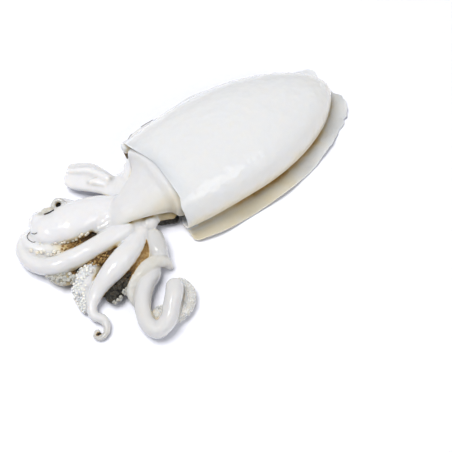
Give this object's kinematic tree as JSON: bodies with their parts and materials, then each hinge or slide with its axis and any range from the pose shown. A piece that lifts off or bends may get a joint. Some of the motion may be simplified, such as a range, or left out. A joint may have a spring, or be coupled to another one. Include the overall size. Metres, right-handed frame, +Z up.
{
  "type": "cleaned cuttlefish",
  "caption": "Cleaned whole cuttlefish lying belly up: a smooth white mantle with side fins, and in its mouth the head with funnel, curling arms and a looped tentacle.",
  "frame": {"origin": "on the table, under the middle of the whole animal's box", "axes": "+X along the mantle towards its tail, +Z up from the table, the head towards -X"},
  "size_m": [0.2902, 0.1652, 0.0376],
  "materials": {
    "mantle_flesh": "wet, smooth, white flesh",
    "head_flesh": "wet, white flesh with cream and brown folds"
  },
  "bodies": {
    "root": {"mantle": "mantle_flesh", "head_with_arms": "head_flesh"}
  },
  "joints": []
}
